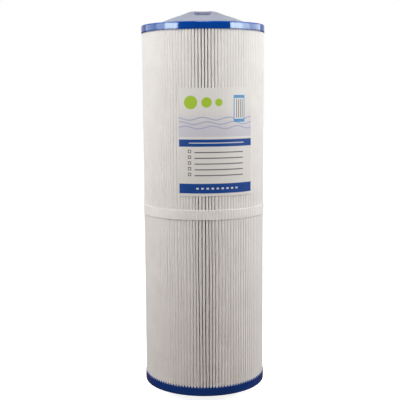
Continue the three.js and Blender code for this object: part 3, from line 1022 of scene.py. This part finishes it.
def retaining_band():
    """A flat strap that dips a little between the tips it lies on, lapped at the back."""
    count = PLEATS * 6
    thickness, dip = 0.3, 0.22
    half_section = ((thickness, 0.05), (0.08, 0.0), (0.0, 0.15), (0.0, 0.4))  # inwards, then up or down

    def outer(shrink):
        def radius(angle):
            return STRAP_RADIUS + lap_rise(angle) - shrink - dip * between_tips(angle)
        return radius

    rings = [circle(outer(shrink), BAND_LOW + rise, count) for shrink, rise in half_section]
    rings += [circle(outer(shrink), BAND_HIGH - rise, count) for shrink, rise in half_section[::-1]]
    return piece("media_strap", *skin(rings, closes=True), STRAP)


LABEL_MIDDLE = math.radians(-90 + 13.2)
LABEL_FILM = 0.14
LABEL_RADIUS = MEDIA_RADIUS + 0.05 + LABEL_FILM


def label():
    """A film over the tips, which dips a little between them."""
    columns, rows, dip = 160, 30, 0.05
    width = columns + 1
    spread = LABEL_WIDTH / LABEL_RADIUS
    points = []
    for shrink in (0.0, LABEL_FILM):
        for row in range(rows + 1):
            z = LABEL_LOW + LABEL_HEIGHT * row / rows
            for column in range(width):
                angle = LABEL_MIDDLE + spread * (column / columns - 0.5)
                points.append(at(LABEL_RADIUS - shrink - dip * between_tips(angle), angle, z))
    back = len(points) // 2
    faces = grid_faces(rows, columns)
    faces += [tuple(back + corner for corner in face[::-1]) for face in faces]
    rim = list(range(columns)) + [row * width + columns for row in range(rows)]
    rim += [rows * width + columns - i for i in range(columns)] + [(rows - i) * width for i in range(rows)]
    for a, b in zip(rim, rim[1:] + rim[:1]):
        faces.append((b, a, back + a, back + b))
    made = crisp(piece("printed_label", points, faces, FILM_PRINT))
    uv = made.data.uv_layers.new(name="print")
    for loop in made.data.loops:
        row, column = divmod(loop.vertex_index % back, width)
        uv.data[loop.index].uv = (column / columns, row / rows)
    return made


# -------- studio, in metres
def area_lamp(name, width, height, brightness, place, target):
    """A glowing rectangle. Brightness 1 is that of a white card in full light."""
    data = bpy.data.lights.new(name, "AREA")
    data.shape = "RECTANGLE"
    data.size = width
    data.size_y = height
    data.energy = brightness * math.pi * width * height
    made = added(name, data)
    made.location = place
    made.rotation_euler = (target - place).to_track_quat("-Z", "Y").to_euler()


def stand(distance, azimuth, height):
    """A place in the studio. Azimuth 0 is in front and positive is to the right, in degrees."""
    angle = math.radians(azimuth)
    return Vector((distance * math.sin(angle), -distance * math.cos(angle), height))


def panel(name, start, end, brightness):
    """An upright panel a little higher than the cartridge, between two azimuths."""
    distance, low, high = 0.85, 0.41, 0.56
    width = 2 * distance * math.tan(math.radians(abs(end - start)) / 2)
    middle = (low + high) / 2
    place = stand(distance, (start + end) / 2, middle)
    area_lamp(name, width, high - low, brightness, place, Vector((0, 0, middle)))


def high_softbox(name, azimuth, brightness):
    """A square softbox above the cartridge's head, tilted down at it."""
    width = 0.40
    area_lamp(name, width, width, brightness, stand(0.70, azimuth, 1.05), Vector((0, 0, 0.25)))


def studio():
    high_softbox("high front softbox", 0, 11.8)
    high_softbox("high left softbox", -85, 8.0)
    high_softbox("high right softbox", 85, 7.0)
    panel("left softbox", -45, -71, 13.5)
    panel("left near card", -71, -91, 4.8)
    panel("left far card", -91, -128, 1.9)
    panel("right softbox", 50, 76, 13.5)
    panel("right near card", 76, 93, 7.8)
    panel("right far card", 93, 130, 3.6)

    world = bpy.data.worlds.new("studio")
    world.use_nodes = True
    bpy.context.scene.world = world
    tree = world.node_tree
    shader = tree.nodes["Background"]
    seen = tree.nodes.new("ShaderNodeLightPath").outputs["Is Camera Ray"]
    way = separate(tree, tree.nodes.new("ShaderNodeTexCoord").outputs["Generated"])
    behind = remap(tree, way["Y"], -0.1, 0.8, 0.0, 0.65)
    tree.links.new(maths(tree, "MAXIMUM", seen, behind), shader.inputs["Strength"])
    shader.inputs["Color"].default_value = (1, 1, 1, 1)


def floor():
    """A wide pale floor that keeps the object's shadow and gives little light back."""
    half = 6.0
    mesh = bpy.data.meshes.new("floor")
    corners = [(-half, -half, 0), (half, -half, 0), (half, half, 0), (-half, half, 0)]
    mesh.from_pydata(corners, [], [(0, 1, 2, 3)])
    made = added("floor", mesh)
    material, tree, shader, where = new_material("pale floor", Roughness=0.9, Specular_IOR_Level=0.2)
    seen = tree.nodes.new("ShaderNodeLightPath").outputs["Is Camera Ray"]
    pale = mix_colour(tree, noise(tree, where["Object"], 3.0), (0.80, 0.80, 0.80), (0.83, 0.83, 0.83))
    from_axis = vector_maths(tree, "LENGTH", where["Object"])
    outwards = remap(tree, from_axis, 0.06, 0.09, ease="SMOOTHSTEP")
    given_back = mix_colour(tree, outwards, (0.32, 0.19, 0.12), (0.09, 0.034, 0.006))
    tree.links.new(mix_colour(tree, seen, given_back, pale), shader.inputs["Base Color"])
    shader.inputs["Emission Color"].default_value = (1, 1, 1, 1)
    tree.links.new(product(tree, seen, 0.88), shader.inputs["Emission Strength"])
    mesh.materials.append(material)


def camera():
    data = bpy.data.cameras.new("camera")
    data.lens = 75.7
    made = added("camera", data)
    distance, height = 0.874, BOTTOM_FACE * MM + 0.3041
    down, pan, roll = (math.radians(value) for value in (7.39, -0.252, -0.341))
    turned = Matrix.Rotation(-pan, 4, "Z") @ Matrix.Rotation(math.pi / 2 - down, 4, "X")
    turned = turned @ Matrix.Rotation(roll, 4, "Z")
    made.matrix_world = Matrix.Translation((0, -distance, height)) @ turned
    bpy.context.scene.camera = made
    bpy.context.scene.view_settings.view_transform = "Standard"


# -------- everything in place
def settle(made, node):
    """Puts a piece in place of its CAD node and on the one body."""
    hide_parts(node)
    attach(made, "root")


camera()
studio()
floor()
sheet = pleated_sheet()
settle(sheet, "pleated_media")
settle(lower_cap(), "bottom_end_cap")
settle(upper_cap(), "top_end_cap")
settle(threaded_outlet(), "threaded_outlet")
for number, section in enumerate(core_sections(), start=1):
    settle(section, f"core_section_{number}")
settle(cone_handle(), "cone_handle")
strap = retaining_band()
settle(strap, "retaining_band")
settle(label(), "label")
